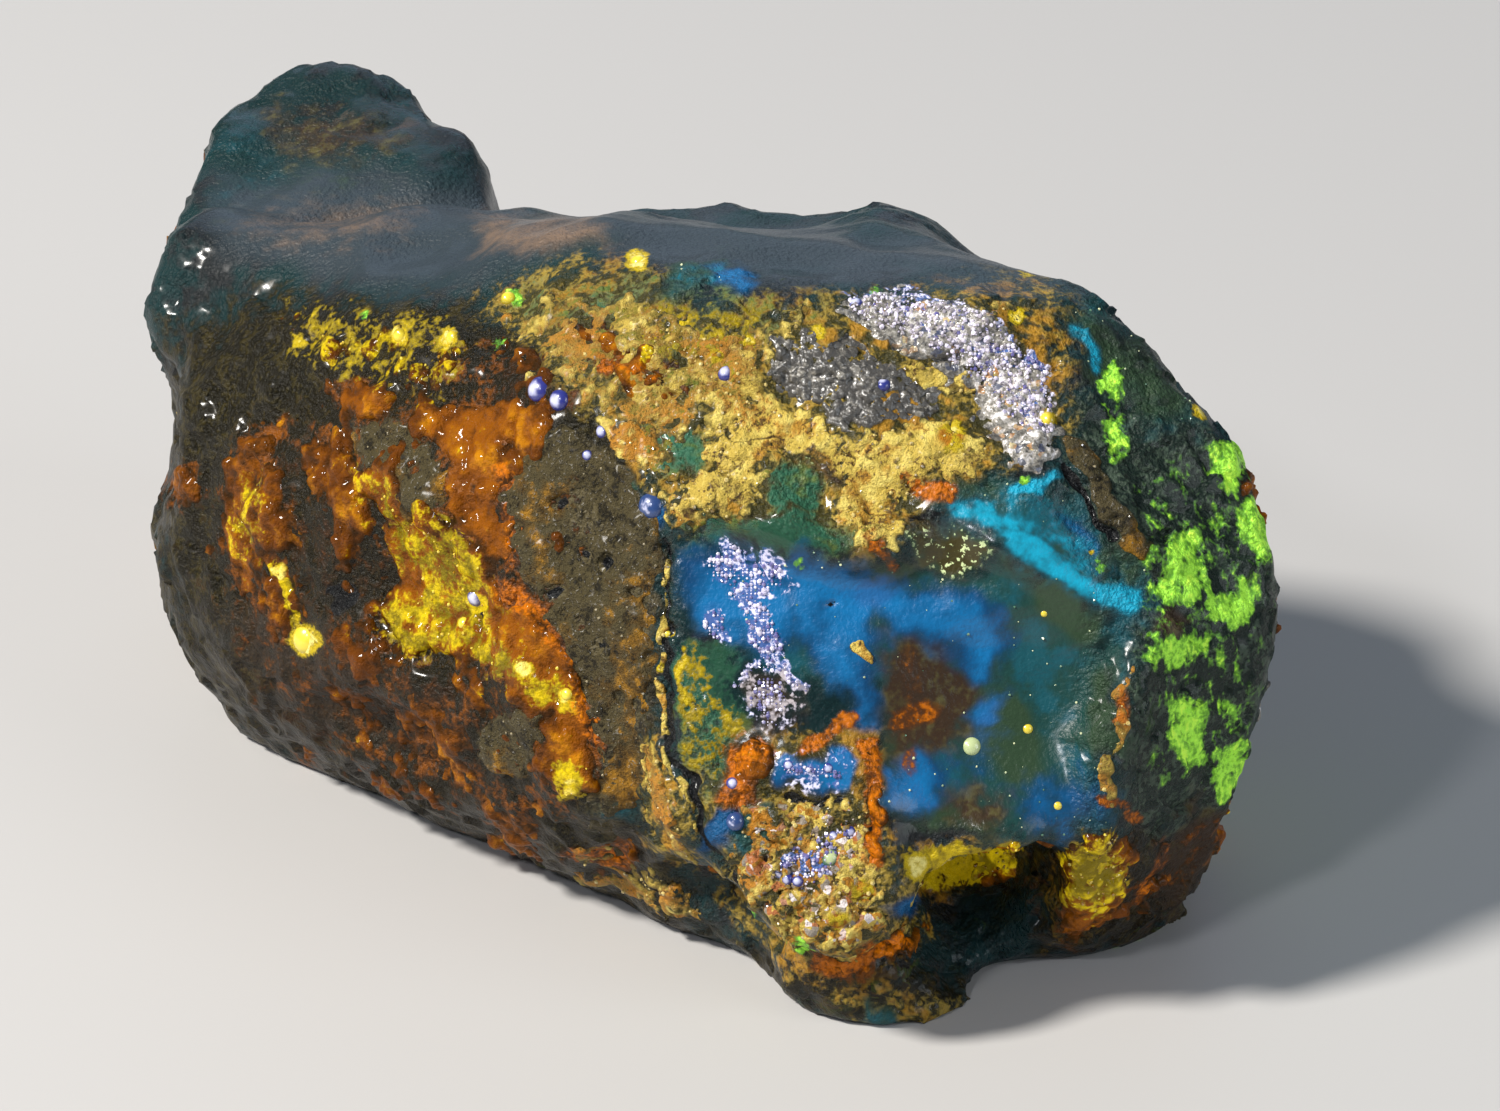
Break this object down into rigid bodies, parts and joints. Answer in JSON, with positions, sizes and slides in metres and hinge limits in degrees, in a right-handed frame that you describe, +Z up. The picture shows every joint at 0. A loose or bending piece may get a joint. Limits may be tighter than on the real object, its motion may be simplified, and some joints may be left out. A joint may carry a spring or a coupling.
{
  "type": "raw amber opal",
  "caption": "Rough lump of amber-coloured opal with a tan clay crust, glassy broken faces and blue, green and orange flashes, flat below to rest on.",
  "frame": {"origin": "centre of the lump's bounding box in X and Y, on the flat underside that it rests on", "axes": "+Z up out of the resting face, -Y out of the steep glassy front face, +X towards the block's right side, the low tail running back to -X and +Y"},
  "size_m": [0.0284, 0.0292, 0.0162],
  "materials": {
    "opal": "glassy dark amber-brown opal with blue, teal, lime and orange flashes, under a dull tan and ochre clay crust"
  },
  "bodies": {
    "root": {"opal_lump": "opal"}
  },
  "joints": []
}
